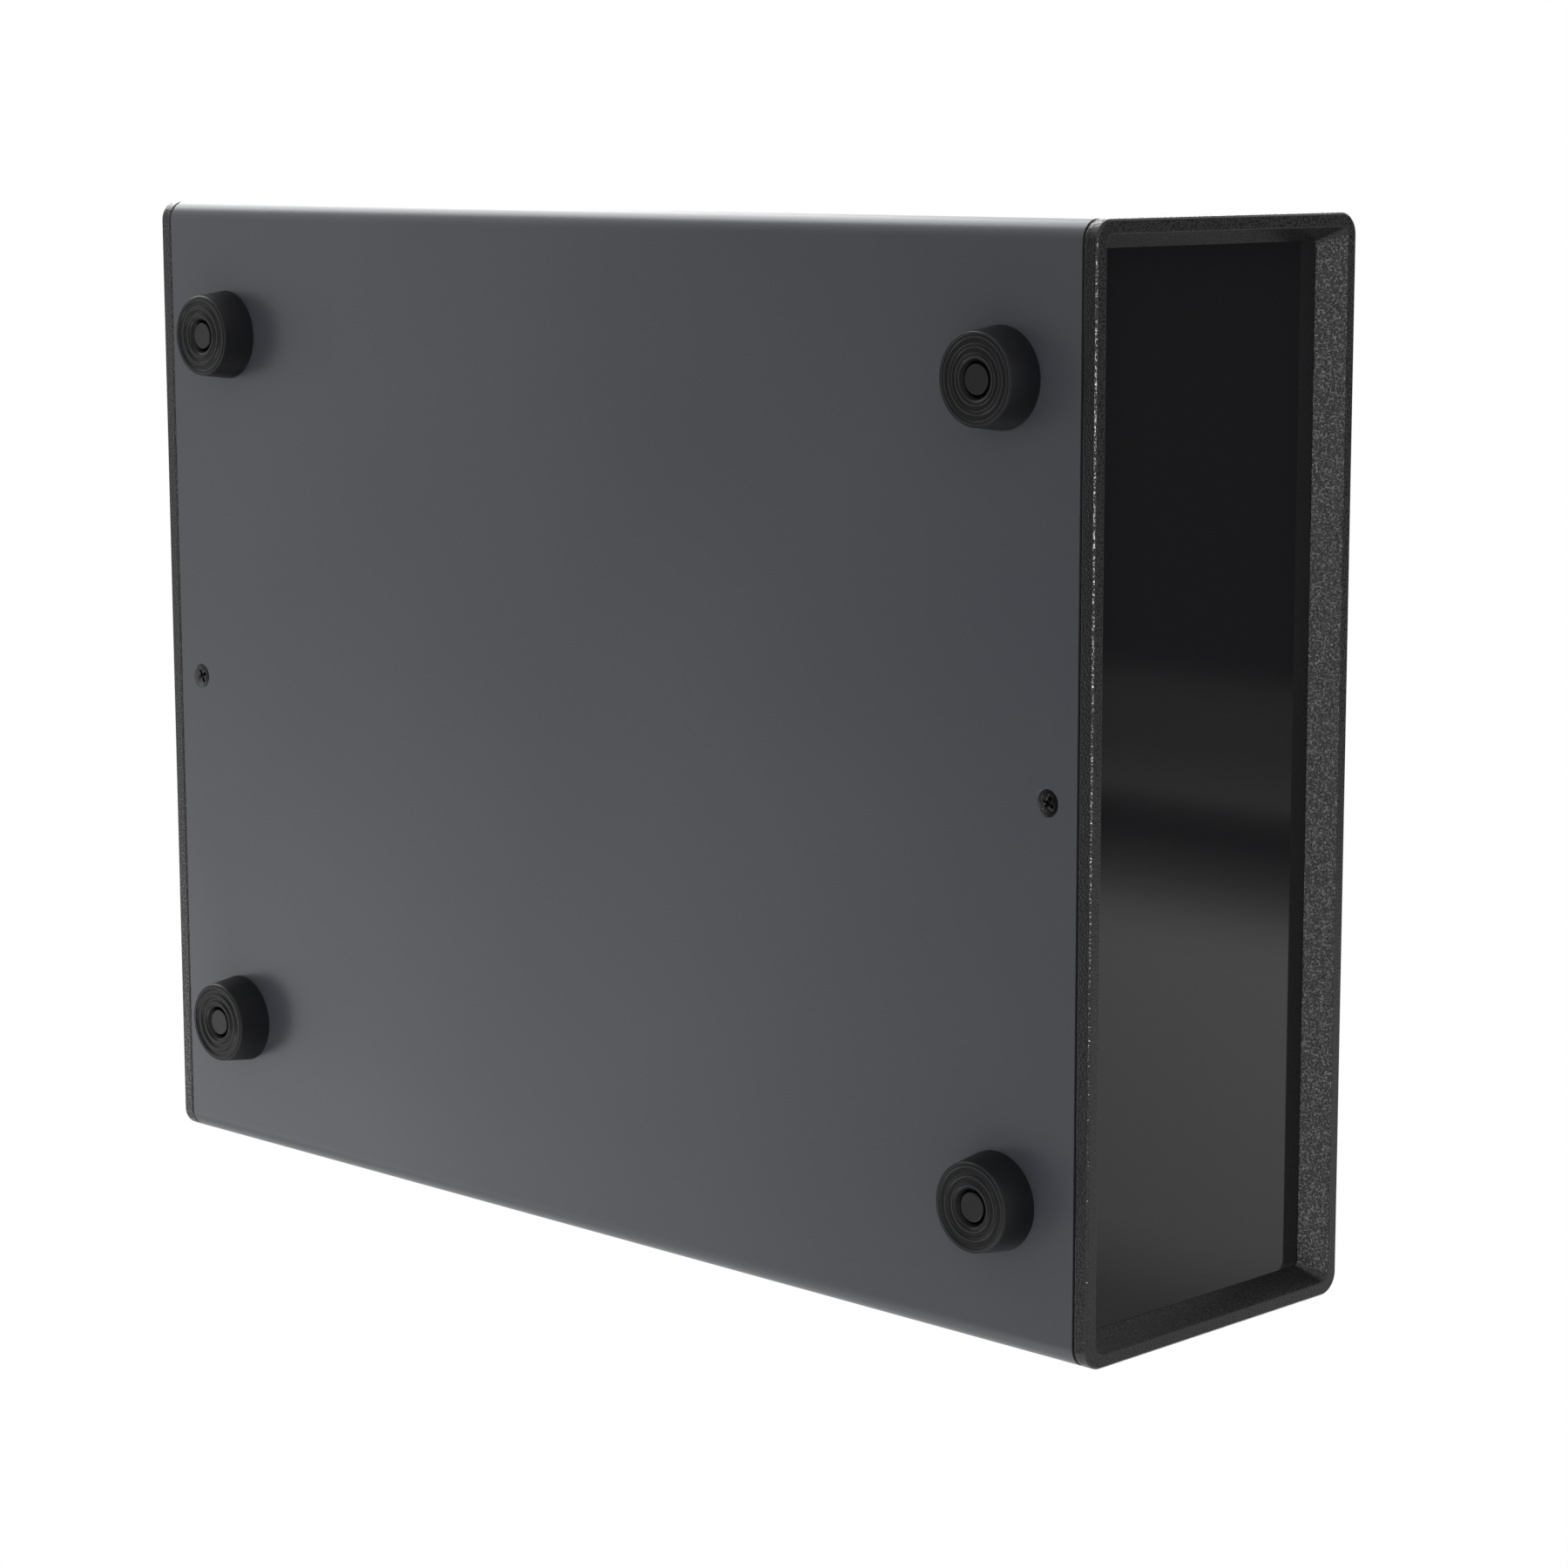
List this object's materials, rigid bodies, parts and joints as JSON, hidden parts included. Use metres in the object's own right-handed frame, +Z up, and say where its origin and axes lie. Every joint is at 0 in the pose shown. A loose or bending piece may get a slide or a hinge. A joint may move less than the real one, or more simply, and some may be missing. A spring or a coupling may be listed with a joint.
{
  "type": "instrument case",
  "caption": "Desktop instrument case with folded covers held between moulded bezel frames, recessed end panels, flush cover screws and rimmed rubber feet.",
  "frame": {"origin": "middle of the case on the plane that the feet stand on", "axes": "+X to the right seen from the front, +Y from the front panel to the rear panel, +Z up from the feet to the top cover"},
  "size_m": [0.22, 0.284, 0.0865],
  "materials": {
    "cover_grey": "smooth satin dark grey coating on folded sheet",
    "bezel_abs": "black moulded ABS with a fine spark-eroded grain",
    "panel_black": "smooth black, semi-gloss",
    "foot_rubber": "black moulded rubber",
    "rivet_nylon": "black moulded nylon",
    "rail_steel": "zinc-plated folded steel",
    "screw_black": "black zinc plating"
  },
  "bodies": {
    "root": {"bottom_cover": "cover_grey", "cover_screws": "screw_black", "foot_rivets": "rivet_nylon", "front_bezel": "bezel_abs", "front_left_foot": "foot_rubber", "front_panel": "panel_black", "front_right_foot": "foot_rubber", "left_rail": "rail_steel", "rear_bezel": "bezel_abs", "rear_left_foot": "foot_rubber", "rear_panel": "panel_black", "rear_right_foot": "foot_rubber", "right_rail": "rail_steel", "top_cover": "cover_grey"}
  },
  "joints": []
}
